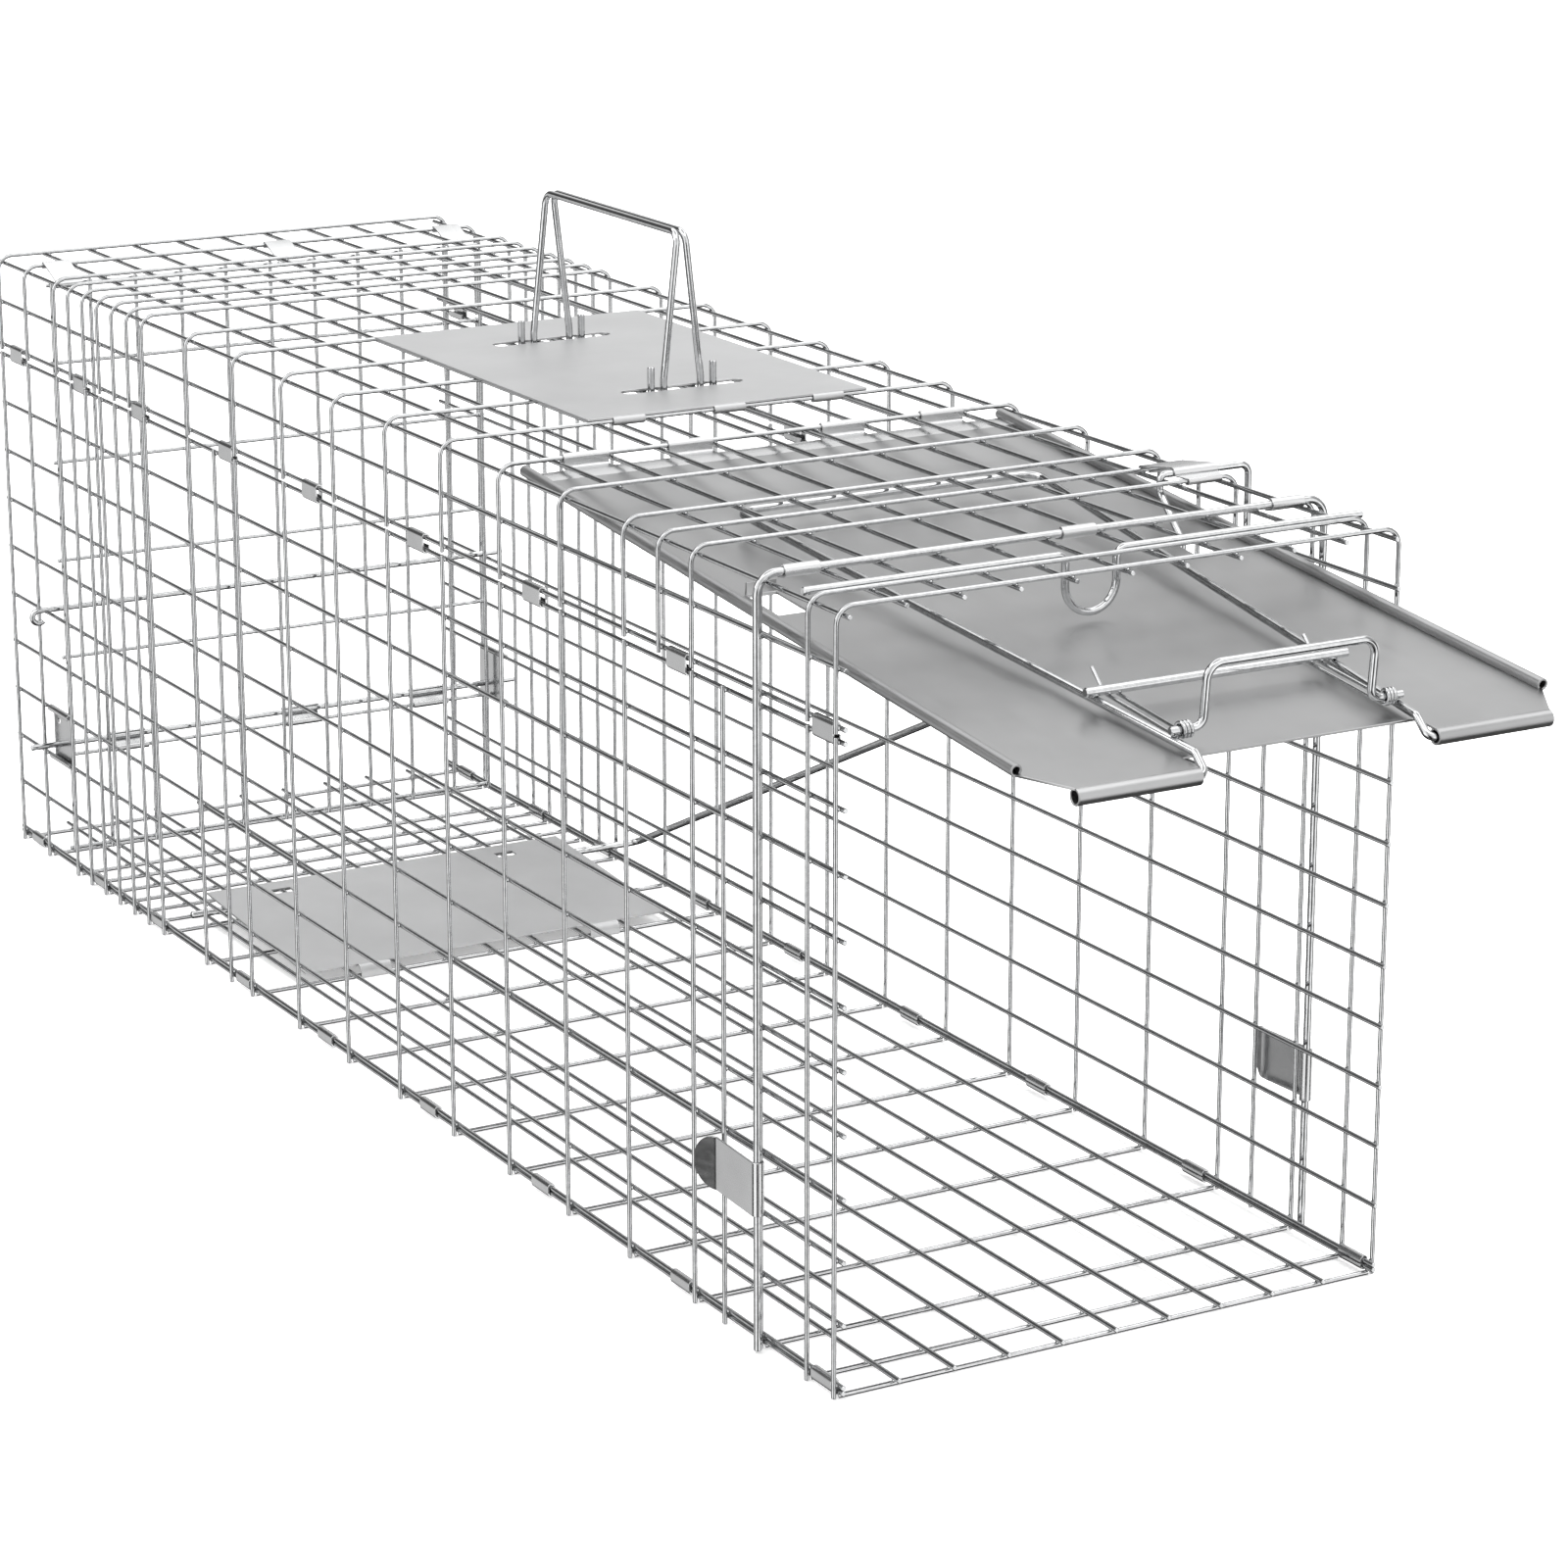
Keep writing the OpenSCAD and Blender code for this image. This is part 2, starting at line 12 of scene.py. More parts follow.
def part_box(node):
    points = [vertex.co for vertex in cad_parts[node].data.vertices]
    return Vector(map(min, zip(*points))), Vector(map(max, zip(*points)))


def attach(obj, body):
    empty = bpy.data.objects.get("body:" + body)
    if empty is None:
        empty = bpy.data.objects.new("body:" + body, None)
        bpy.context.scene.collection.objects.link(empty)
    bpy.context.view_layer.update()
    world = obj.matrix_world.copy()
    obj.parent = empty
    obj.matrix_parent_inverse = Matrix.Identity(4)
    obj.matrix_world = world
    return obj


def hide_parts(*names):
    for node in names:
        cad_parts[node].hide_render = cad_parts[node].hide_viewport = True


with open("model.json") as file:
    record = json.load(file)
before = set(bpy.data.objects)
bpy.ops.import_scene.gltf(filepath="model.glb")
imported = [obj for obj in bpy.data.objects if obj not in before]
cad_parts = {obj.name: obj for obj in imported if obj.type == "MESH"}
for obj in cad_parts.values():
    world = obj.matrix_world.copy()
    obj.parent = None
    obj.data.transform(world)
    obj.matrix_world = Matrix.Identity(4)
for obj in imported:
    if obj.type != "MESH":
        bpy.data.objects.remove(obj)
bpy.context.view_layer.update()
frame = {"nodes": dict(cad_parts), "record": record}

MM = 0.001
SIDES = 16
CHAMFER = 0.22
SHARP_ANGLE, BEVEL_ANGLE = math.radians(32), math.radians(40)
JOINTS = {j["name"]: j for j in frame["record"]["behaviour"]["joints"]}
RNG = random.Random(7)

# Wires and sheets, in millimetres, as part.scad has them
MESH_R = 1.0
FRAME_R = 1.6
CLIP_T = 0.8
SNUG = 0.05
RUNNING = 0.08
HOOP_BEND = 7.0


def joint_at(name):
    """Where a joint turns, in millimetres."""
    return Vector(JOINTS[name]["pos_m"]) / MM


def box_mm(node):
    """Lowest and highest corner of a CAD node, in millimetres."""
    low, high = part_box(node)
    return Vector(low) / MM, Vector(high) / MM


# ---- Paths ----

def bent(points, bend, step=math.radians(9)):
    """The corners of a path turned into arcs. bend is one radius, or one for each point."""
    points = [Vector(p) for p in points]
    out = [points[0]]
    for i in range(1, len(points) - 1):
        radius = bend[i] if isinstance(bend, (list, tuple)) else bend
        u = (points[i] - points[i - 1]).normalized()
        v = (points[i + 1] - points[i]).normalized()
        angle = u.angle(v)
        if angle < 1e-3 or radius <= 0:
            out.append(points[i])
            continue
        start = points[i] - u * radius * math.tan(angle / 2)
        inward = (v - u * u.dot(v)).normalized()
        centre = start + inward * radius
        count = max(2, math.ceil(angle / step))
        for k in range(count + 1):
            a = angle * k / count
            out.append(centre - inward * radius * math.cos(a) + u * radius * math.sin(a))
    out.append(points[-1])
    return out


def arc(centre, radius, start, end, step=12):
    """Points on a flat arc, angles in degrees."""
    count = max(2, math.ceil(abs(end - start) / step))
    angles = [math.radians(start + (end - start) * k / count) for k in range(count + 1)]
    return [(centre[0] + radius * math.cos(a), centre[1] + radius * math.sin(a)) for a in angles]


def belt(c1, r1, c2, r2, side, wrap1, wrap2):
    """A flat strip curled round two wires: an arc round the first, a straight, an arc round the second.
    side is 1 if both wires lie to the right of the straight as it runs to the second."""
    d = Vector((c2[0] - c1[0], c2[1] - c1[1]))
    along = math.degrees(math.atan2(d.y, d.x))
    tilt = math.degrees(math.asin((r1 - r2) / d.length))
    leave = along + side * (90 - tilt)
    return arc(c1, r1, leave + side * wrap1, leave) + arc(c2, r2, leave, leave - side * wrap2)


# ---- Mesh code ----

class Shape:
    """Vertices and faces of one piece, in millimetres."""

    def __init__(self):
        self.verts = []
        self.faces = []

    def add(self, verts, faces):
        start = len(self.verts)
        self.verts += [tuple(v) for v in verts]
        self.faces += [[start + i for i in f] for f in faces]

    def tube(self, path, radius, sides=SIDES):
        """Round wire along a path, with its cut ends a little chamfered."""
        path = [Vector(p) for p in path]
        clean = [path[0]]
        for p in path[1:]:
            if (p - clean[-1]).length > 1e-4:
                clean.append(p)
        path = clean
        last = len(path) - 1
        tangents = [(path[min(i + 1, last)] - path[max(i - 1, 0)]).normalized() for i in range(len(path))]
        normal = tangents[0].orthogonal().normalized()
        rings = []
        for i, (p, t) in enumerate(zip(path, tangents)):
            if i:
                normal = tangents[i - 1].rotation_difference(t) @ normal
            normal = (normal - t * t.dot(normal)).normalized()
            rings.append((p, t, normal.copy(), radius))
        cut = radius * CHAMFER
        p, t, n, r = rings[0]
        rings[0] = (p + t * cut, t, n, r)
        rings.insert(0, (p, t, n, r - cut))
        p, t, n, r = rings[-1]
        rings[-1] = (p - t * cut, t, n, r)
        rings.append((p, t, n, r - cut))
        verts = []
        for p, t, n, r in rings:
            b = t.cross(n)
            for k in range(sides):
                a = 2 * math.pi * k / sides
                verts.append(p + (n * math.cos(a) + b * math.sin(a)) * r)
        faces = []
        for i in range(len(rings) - 1):
            a, b = i * sides, (i + 1) * sides
            for k in range(sides):
                k2 = (k + 1) % sides
                faces.append([a + k, a + k2, b + k2, b + k])
        faces.append(list(range(sides))[::-1])
        faces.append([len(verts) - sides + k for k in range(sides)])
        self.add(verts, faces)

    def ribbon(self, path, t, spans, place):
        """Bent sheet of thickness t along a flat path. spans is one (low, high) pair across it, or one for
        each point, and place turns (u, v, w) into the row frame, w being across the sheet."""
        path = [Vector(p) for p in path]
        count = len(path)
        if not isinstance(spans, list):
            spans = [spans] * count
        verts = []
        for i, p in enumerate(path):
            u = (p - path[i - 1]).normalized() if i else (path[1] - p).normalized()
            v = (path[i + 1] - p).normalized() if i < count - 1 else u
            m = (u + v).normalized()
            n = Vector((-m.y, m.x)) * (t / 2) / max(0.5, m.dot(u))
            low, high = spans[i]
            for q, w in ((p + n, low), (p - n, low), (p - n, high), (p + n, high)):
                verts.append(place(q.x, q.y, w))
        faces = []
        for i in range(count - 1):
            a, b = 4 * i, 4 * (i + 1)
            for k in range(4):
                faces.append([a + k, a + (k + 1) % 4, b + (k + 1) % 4, b + k])
        faces.append([3, 2, 1, 0])
        faces.append([4 * (count - 1) + k for k in range(4)])
        self.add(verts, faces)

    def plate(self, outline, holes, bottom, top, place):
        """Flat sheet with holes, between two heights. place turns (u, v, w) into the row frame."""
        loops = [outline] + holes
        points, edges = [], []
        for loop in loops:
            start = len(points)
            points += [Vector(p) for p in loop]
            edges += [(start + i, start + (i + 1) % len(loop)) for i in range(len(loop))]
        flat, _, tris, _, _, _ = delaunay_2d_cdt(points, edges, [], 1, 1e-5)
        kept = []
        for tri in tris:
            mid = sum((flat[i] for i in tri), Vector((0, 0))) / len(tri)
            if inside(mid, outline) and not any(inside(mid, h) for h in holes):
                kept.append(list(tri))
        count = len(flat)
        verts = [place(p.x, p.y, top) for p in flat] + [place(p.x, p.y, bottom) for p in flat]
        faces = kept + [[count + i for i in reversed(tri)] for tri in kept]
        used = {}
        for tri in kept:
            for a, b in zip(tri, tri[1:] + tri[:1]):
                used[(a, b)] = True
        for a, b in used:
            if (b, a) not in used:
                faces.append([b, a, count + a, count + b])
        self.add(verts, faces)

    def nugget(self, at, normal, flat_r, high_r):
        """The squashed bead of a spot weld."""
        u = normal.orthogonal().normalized()
        v = normal.cross(u)
        rings, sides = 4, 10
        verts = [at + normal * high_r]
        for i in range(1, rings):
            a = math.pi * i / rings
            for k in range(sides):
                b = 2 * math.pi * k / sides
                verts.append(at + normal * high_r * math.cos(a)
                             + (u * math.cos(b) + v * math.sin(b)) * flat_r * math.sin(a))
        verts.append(at - normal * high_r)
        faces = [[0, 1 + k, 1 + (k + 1) % sides] for k in range(sides)]
        for i in range(rings - 2):
            for k in range(sides):
                a, b = 1 + i * sides + k, 1 + i * sides + (k + 1) % sides
                faces.append([a, a + sides, b + sides, b])
        last = len(verts) - 1
        start = last - sides
        faces += [[last, start + (k + 1) % sides, start + k] for k in range(sides)]
        self.add(verts, faces)

    def piece(self, name, material, body, slot, nodes, bevel=0.0):
        """Makes the Blender object, which rides a body and stands for its CAD nodes."""
        mesh = bpy.data.meshes.new(name)
        mesh.from_pydata([tuple(c * MM for c in v) for v in self.verts], [], self.faces)
        mesh.validate()
        mesh.polygons.foreach_set("use_smooth", [True] * len(mesh.polygons))
        mesh.set_sharp_from_angle(angle=SHARP_ANGLE)
        mesh.materials.append(material)
        obj = bpy.data.objects.new(name, mesh)
        bpy.context.scene.collection.objects.link(obj)
        if bevel:
            mod = obj.modifiers.new("edges", "BEVEL")
            mod.width = bevel * MM
            mod.segments = 2
            mod.limit_method = "ANGLE"
            mod.angle_limit = BEVEL_ANGLE
        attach(obj, body)
        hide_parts(*nodes)


def inside(p, loop):
    """True if a flat point is inside a closed outline."""
    hit = False
    for a, b in zip(loop, loop[1:] + loop[:1]):
        if (a[1] > p[1]) != (b[1] > p[1]):
            if p[0] < (b[0] - a[0]) * (p[1] - a[1]) / (b[1] - a[1]) + a[0]:
                hit = not hit
    return hit


def islands(node):
    """Boxes, in millimetres, of the separate wires in a CAD node."""
    mesh = frame["nodes"][node].data
    spots, parent = {}, []

    def root(i):
        while parent[i] != i:
            parent[i] = parent[parent[i]]
            i = parent[i]
        return i

    key = []
    for v in mesh.vertices:
        spot = tuple(round(c * 1e6) for c in v.co)
        if spot not in spots:
            spots[spot] = len(parent)
            parent.append(len(parent))
        key.append(spots[spot])
    for e in mesh.edges:
        a, b = root(key[e.vertices[0]]), root(key[e.vertices[1]])
        if a != b:
            parent[a] = b
    boxes = {}
    for spot, i in spots.items():
        r = root(i)
        co = Vector(spot) / 1000
        if r in boxes:
            low, high = boxes[r]
            for k in range(3):
                low[k] = min(low[k], co[k])
                high[k] = max(high[k], co[k])
        else:
            boxes[r] = (co.copy(), co.copy())
    return sorted(boxes.values(), key=lambda b: tuple(round(c, 2) for c in (*b[0], *b[1])))


# ---- Materials ----

def nodes_of(material):
    material.use_nodes = True
    tree = material.node_tree
    return tree, tree.nodes, tree.links, tree.nodes["Principled BSDF"]


def noise(tree, coords, scale, detail=2.0, rough=0.5, stretch=None):
    """Noise in the object's own coordinates, in metres, stretched along an axis if asked."""
    source = coords
    if stretch:
        mapping = tree.nodes.new("ShaderNodeMapping")
        mapping.inputs["Scale"].default_value = stretch
        tree.links.new(coords, mapping.inputs["Vector"])
        source = mapping.outputs["Vector"]
    node = tree.nodes.new("ShaderNodeTexNoise")
    node.inputs["Scale"].default_value = scale
    node.inputs["Detail"].default_value = detail
    node.inputs["Roughness"].default_value = rough
    tree.links.new(source, node.inputs["Vector"])
    return node.outputs["Fac"]


def ramp(tree, value, stops):
    """Colour ramp from (place, brightness or colour) pairs."""
    node = tree.nodes.new("ShaderNodeValToRGB")
    node.color_ramp.elements[0].position = stops[0][0]
    node.color_ramp.elements[1].position = stops[-1][0]
    for place, _ in stops[1:-1]:
        node.color_ramp.elements.new(place)
    for element, (_, shade) in zip(node.color_ramp.elements, stops):
        element.color = (*shade, 1) if isinstance(shade, tuple) else (shade, shade, shade, 1)
    tree.links.new(value, node.inputs["Fac"])
    return node.outputs["Color"]


def bump(tree, value, strength, distance, after=None):
    node = tree.nodes.new("ShaderNodeBump")
    node.inputs["Strength"].default_value = strength
    node.inputs["Distance"].default_value = distance
    tree.links.new(value, node.inputs["Height"])
    if after:
        tree.links.new(after, node.inputs["Normal"])
    return node.outputs["Normal"]


def wire_material(name, dark, light, rough_low, rough_high):
    """Bright zinc on drawn wire: a fine mottle in colour and gloss, and faint drawing marks."""
    material = bpy.data.materials.new(name)
    tree, nodes, links, shader = nodes_of(material)
    coords = nodes.new("ShaderNodeTexCoord").outputs["Object"]
    mottle = noise(tree, coords, 420, 4, 0.6)
    cloud = noise(tree, coords, 60, 2, 0.5)
    links.new(ramp(tree, mottle, [(0.3, dark), (0.7, light)]), shader.inputs["Base Color"])
    links.new(ramp(tree, cloud, [(0.3, rough_low), (0.7, rough_high)]), shader.inputs["Roughness"])
    shader.inputs["Metallic"].default_value = 1.0
    links.new(bump(tree, noise(tree, coords, 900, 3, 0.6), 0.12, 0.00005), shader.inputs["Normal"])
    return material


def sheet_material(name, dark, light, rough_low, rough_high, grain):
    """Galvanised sheet: soft clouds in the zinc, a fine grain along its rolling and slight waves."""
    material = bpy.data.materials.new(name)
    tree, nodes, links, shader = nodes_of(material)
    coords = nodes.new("ShaderNodeTexCoord").outputs["Object"]
    cloud = noise(tree, coords, 22, 3, 0.55)
    fine = noise(tree, coords, 260, 3, 0.6, grain)
    mix = nodes.new("ShaderNodeMath")
    mix.operation = "MULTIPLY_ADD"
    mix.inputs[1].default_value = 0.35
    links.new(fine, mix.inputs[0])
    links.new(cloud, mix.inputs[2])
    links.new(ramp(tree, mix.outputs[0], [(0.45, dark), (0.9, light)]), shader.inputs["Base Color"])
    links.new(ramp(tree, fine, [(0.3, rough_low), (0.7, rough_high)]), shader.inputs["Roughness"])
    shader.inputs["Metallic"].default_value = 1.0
    waves = bump(tree, noise(tree, coords, 9, 1, 0.4), 0.12, 0.0012)
    links.new(bump(tree, noise(tree, coords, 700, 4, 0.65), 0.04, 0.00004, waves), shader.inputs["Normal"])
    return material


WIRE = wire_material("zinc_mesh_wire",
                     (0.42, 0.425, 0.43), (0.54, 0.545, 0.55), 0.06, 0.12)
ROD = wire_material("zinc_frame_wire",
                    (0.46, 0.465, 0.47), (0.60, 0.605, 0.61), 0.05, 0.10)
SPRING = wire_material("spring_wire",
                       (0.46, 0.465, 0.47), (0.60, 0.605, 0.61), 0.08, 0.15)
SHEET = sheet_material("galvanised_sheet",
                       (0.50, 0.503, 0.506), (0.56, 0.563, 0.566), 0.38, 0.46, (1, 0.12, 1))
# The door's sheet: the galvanised sheet made darker, painted shade.
SHADED_DOOR_SHEET = sheet_material("door_sheet_painted_shade",
                            (0.38, 0.382, 0.384), (0.43, 0.432, 0.434), 0.32, 0.38, (1, 0.12, 1))
# The guard plate's sheet: the galvanised sheet made lighter, painted light.
LIT_GUARD_SHEET = sheet_material("guard_sheet_painted_light",
                       (0.52, 0.523, 0.526), (0.57, 0.573, 0.576), 0.42, 0.48, (0.12, 1, 1))
# The lip sheet: the galvanised sheet made lighter, painted light, for the door's hinge strip, the hinge
# sleeves and the catch bracket.
LIT_LIP_SHEET = sheet_material("lip_sheet_painted_light",
                     (0.58, 0.583, 0.586), (0.64, 0.643, 0.646), 0.24, 0.32, (0.12, 1, 1))
CLIP = sheet_material("clip_sheet",
                      (0.48, 0.483, 0.486), (0.60, 0.603, 0.606), 0.18, 0.26, (1, 0.3, 1))


# ---- Places ----

def across_x(u, v, w):
    """A profile drawn in Y and Z, w along X."""
    return Vector((w, u, v))


def across_y(u, v, w):
    """A profile drawn in X and Z, w along Y."""
    return Vector((u, w, v))


def across_z(u, v, w):
    """A profile drawn in X and Y, w along Z."""
    return Vector((u, v, w))


# ---- Mesh panels ----

def straight(low, high):
    """Ends and radius of a straight wire from its box."""
    size = high - low
    k = max(range(3), key=lambda i: size[i])
    radius = min(size) / 2
    mid = (low + high) / 2
    a, b = mid.copy(), mid.copy()
    a[k], b[k] = low[k], high[k]
    return a, b, radius


TOUCH = 0.2
CROSSING = 0.1


def weld(shape, runs):
    """Puts a bead wherever two wires of a panel touch."""
    for i, (a, b) in enumerate(runs):
        u = (b - a).normalized()
        for c, d in runs[i + 1:]:
            v = (d - c).normalized()
            if abs(u.dot(v)) > CROSSING:
                continue
            n = u.cross(v).normalized()
            gap = (c - a).dot(n)
            if abs(gap) > 2 * MESH_R + TOUCH:
                continue
            s = (c - a).dot(u)
            t = (a - c).dot(v)
            if not (-TOUCH < s < (b - a).length + TOUCH and -TOUCH < t < (d - c).length + TOUCH):
                continue
            at = a + u * s + n * gap / 2
            shape.nugget(at, n, MESH_R * RNG.uniform(0.95, 1.2), MESH_R * RNG.uniform(0.45, 0.6))


def panel(node):
    """Rebuilds a welded mesh panel from its CAD wires."""
    shape = Shape()
    runs = []
    for low, high in islands(node):
        size = high - low
        if sorted(size)[1] > 4 * MESH_R:
            x0, x1, z0, z1 = low.x + MESH_R, high.x - MESH_R, low.z, high.z - MESH_R
            y = (low.y + high.y) / 2
            shape.tube(bent([(x0, y, z0), (x0, y, z1), (x1, y, z1), (x1, y, z0)], HOOP_BEND), MESH_R)
            runs.append((Vector((x0, y, z0)), Vector((x0, y, z1 - HOOP_BEND))))
            runs.append((Vector((x0 + HOOP_BEND, y, z1)), Vector((x1 - HOOP_BEND, y, z1))))
            runs.append((Vector((x1, y, z0)), Vector((x1, y, z1 - HOOP_BEND))))
        else:
            a, b, radius = straight(low, high)
            shape.tube([a, b], radius)
            runs.append((a, b))
    weld(shape, runs)
    return shape


for panel_node in ("bottom_panel", "left_side_panel", "right_side_panel", "top_panel", "rear_panel"):
    panel(panel_node).piece(panel_node + "_wires", WIRE, "cage", "mesh_wire", [panel_node])

# ---- Clips on the seams ----

EYE = MESH_R + SNUG + CLIP_T / 2
CLIP_BEVEL = 0.15
CLIP_LIP = 0.35


def seam_clips(node):
    """Clips that press two parallel lengthwise wires together."""
    shape = Shape()
    for low, high in islands(node):
        x = (low.x + high.x) / 2
        inner = 1 if x < 0 else -1
        bottom, top = low.z + MESH_R + SNUG + CLIP_T, high.z - MESH_R - SNUG - CLIP_T
        reach = (top - bottom) * CLIP_LIP
        out = 0 if inner < 0 else 180
        turn = 1 if inner < 0 else -1
        path = [(x + inner * EYE, bottom + reach)]
        path += arc((x, bottom), EYE, out + turn * -180, out)
        path += arc((x, top), EYE, out, out + turn * 180)
        path += [(x + inner * EYE, top - reach)]
        shape.ribbon(path, CLIP_T, (low.y, high.y), across_y)
    shape.piece(node + "_bent", CLIP, "cage", "clip", [node], bevel=CLIP_BEVEL)


for clip_node in ("left_seam_clips", "right_seam_clips", "left_floor_clips", "right_floor_clips"):
    seam_clips(clip_node)

# ---- Front frame, stop bar and their hinge sleeves ----

FRAME_BEND = 8
frame_pivot = joint_at("front_frame_swing")
low, high = box_mm("front_frame")
x0, x1, z1, fy = low.x + FRAME_R, high.x - FRAME_R, high.z - FRAME_R, frame_pivot.y
shape = Shape()
shape.tube(bent([(x0, fy, low.z), (x0, fy, z1), (x1, fy, z1), (x1, fy, low.z)], FRAME_BEND), FRAME_R)
shape.piece("front_frame_rod", ROD, "frame", "frame_wire", ["front_frame"])

STOP_LOOP_R, STOP_BEND = 11.4, 3.5
low, high = box_mm("front_stop_bar")
y, z1, z0 = (low.y + high.y) / 2, high.z - FRAME_R, low.z + FRAME_R
shape = Shape()
shape.tube(bent([(low.x, y, z1), (-STOP_LOOP_R, y, z1), (-STOP_LOOP_R, y, z0), (STOP_LOOP_R, y, z0),
                 (STOP_LOOP_R, y, z1), (high.x, y, z1)],
                [0, STOP_BEND, STOP_LOOP_R, STOP_LOOP_R, STOP_BEND, 0]), FRAME_R)
shape.piece("front_stop_bar_rod", ROD, "cage", "frame_wire", ["front_stop_bar"])

WIDE = 100
hoops = [b for b in islands("top_panel") if b[1].x - b[0].x > WIDE]
hoop_z = hoops[0][1].z - MESH_R


def hoop_near(y):
    """The lengthwise place of the top panel's hoop nearest to y."""
    return min(((a.y + b.y) / 2 for a, b in hoops), key=lambda h: abs(h - y))


HOOP_BEHIND = 3
hoop = (hoop_near(fy + HOOP_BEHIND), hoop_z)
shape = Shape()
for low, high in islands("front_hinge_sleeves"):
    path = belt(hoop, EYE, (frame_pivot.y, frame_pivot.z), FRAME_R + RUNNING + CLIP_T / 2, 1, 175, 200)
    shape.ribbon(path, CLIP_T, (low.x, high.x), across_x)
shape.piece("front_hinge_sleeves_bent", LIT_LIP_SHEET, "cage", "clip", ["front_hinge_sleeves"], bevel=CLIP_BEVEL)

# ---- Latch clips on the front frame ----

# Ends of the leaf and of the thumb tab, out from the frame's leg and rearward of it
LEAF_END, THUMB_TIP = (0.5, 30.6), (4.6, 41.1)
LATCH_CURL, LATCH_BEND = 235, 3
TIP_STEP, TIP_FLAT = 0.7, 0.04


def latch_clip(node, body, side):
    """A strip curled round the frame's leg, with a rounded thumb tab standing off the side panel."""
    low, high = box_mm(node)
    mid, half = (low.z + high.z) / 2, (high.z - low.z) / 2
    pivot = joint_at(body + "_swing")
    leg = abs(pivot.x)
    eye_r = FRAME_R + RUNNING + CLIP_T / 2
    outline = arc((leg, pivot.y), eye_r, -LATCH_CURL, 0)
    leaf = [(leg + eye_r, pivot.y, 0), (leg + LEAF_END[0], pivot.y + LEAF_END[1], 0),
            (leg + THUMB_TIP[0], pivot.y + THUMB_TIP[1], 0)]
    outline += [(p.x, p.y) for p in bent(leaf, LATCH_BEND)[1:]]
    path = [Vector((side * u, v)) for u, v in outline]
    fine = []
    for a, b in zip(path, path[1:]):
        count = max(1, int((b - a).length / TIP_STEP))
        fine += [a.lerp(b, k / count) for k in range(count)]
    fine.append(path[-1])
    start = path[-1]
    spans, run = [], 0.0
    for p in reversed(fine):
        run += (start - p).length
        start = p
        h = half if run > half else math.sqrt(max(TIP_FLAT, 1 - (1 - run / half) ** 2)) * half
        spans.append((mid - h, mid + h))
    spans.reverse()
    shape = Shape()
    shape.ribbon(fine, CLIP_T, spans, across_z)
    shape.piece(node + "_bent", CLIP, body, "clip", [node], bevel=CLIP_BEVEL)


latch_clip("left_latch_clip", "left_latch", -1)
latch_clip("right_latch_clip", "right_latch", 1)

# ---- Door ----

# The door in its own frame: its hinge wire is the origin and its free edge lies at -DOOR_L
DOOR_L = 391.0
DOOR_T = 1.0
ROLL_T = DOOR_T * 0.9
ROLL_R = 3.25
ROLL_Z = -7.2
ROLL_IN, ROLL_OUT = 50.5, 101.5
SHEET_Z = -4.5
EDGE_R = 2.4
DOOR_HALF = 115.5
TAB_W = 20.5
PITCH = 24.2
TABS = [k * PITCH for k in (-3.5, -1.5, 1.5, 3.5)]
HOLES = [-98.5, 90.0]
HOLE_W, HOLE_Y = 13.0, (-195.0, -170.0)
CORNER_CUT, NOTCH = 19, 11
FLAP_H = 5.5
SIDE_ROLL_Y = -2.5

hinge = joint_at("door_swing")
pin = joint_at("bail_swing")
slope = math.atan2(pin.z - hinge.z, pin.y - hinge.y) - math.atan2(ROLL_Z, -DOOR_L)


def door(x, y, z):
    """From the door's own frame, hinge wire at the origin, to the row frame."""
    c, s = math.cos(slope), math.sin(slope)
    return Vector((x, hinge.y + y * c - z * s, hinge.z + y * s + z * c))


def door_path(points, bend):
    return [door(*p) for p in bent(points, bend)]


STEP_Y, STEP_Z, REAR_Y = -15.0, 0.35, -5.0
edge_x = DOOR_HALF - EDGE_R
corner = -DOOR_L + CORNER_CUT
outline = [(-edge_x, STEP_Y), (-edge_x, corner), (-ROLL_OUT, -DOOR_L), (-ROLL_IN, -DOOR_L),
           (-ROLL_IN, -DOOR_L + NOTCH), (ROLL_IN, -DOOR_L + NOTCH), (ROLL_IN, -DOOR_L), (ROLL_OUT, -DOOR_L),
           (edge_x, corner), (edge_x, STEP_Y)]
holes = [[(x - HOLE_W / 2, HOLE_Y[0]), (x + HOLE_W / 2, HOLE_Y[0]), (x + HOLE_W / 2, HOLE_Y[1]),
          (x - HOLE_W / 2, HOLE_Y[1])] for x in HOLES]
shape = Shape()
shape.plate(outline, holes, SHEET_Z - DOOR_T / 2, SHEET_Z + DOOR_T / 2, door)
for side in (-1, 1):
    mid_r = EDGE_R - DOOR_T / 2
    roll = arc((0, SHEET_Z + mid_r), mid_r, -90, 225, 15)
    shape.ribbon([(side * (edge_x + px), pz) for px, pz in roll], ROLL_T, (SIDE_ROLL_Y, corner),
                 lambda u, v, w: door(u, w, v))
    mid_r = ROLL_R - DOOR_T / 2
    roll = arc((-DOOR_L, ROLL_Z), mid_r, 90, 415, 12)
    ends = (ROLL_IN, ROLL_OUT) if side > 0 else (-ROLL_OUT, -ROLL_IN)
    shape.ribbon(roll, ROLL_T, ends, lambda u, v, w: door(w, u, v))
strip_z = SHEET_Z + STEP_Z
strip = Shape()
step = [(REAR_Y, strip_z), (STEP_Y + 1.2, strip_z), (STEP_Y + 0.2, SHEET_Z), (STEP_Y - 0.5, SHEET_Z)]
strip.ribbon(step, DOOR_T, (-edge_x, edge_x), lambda u, v, w: door(w, u, v))
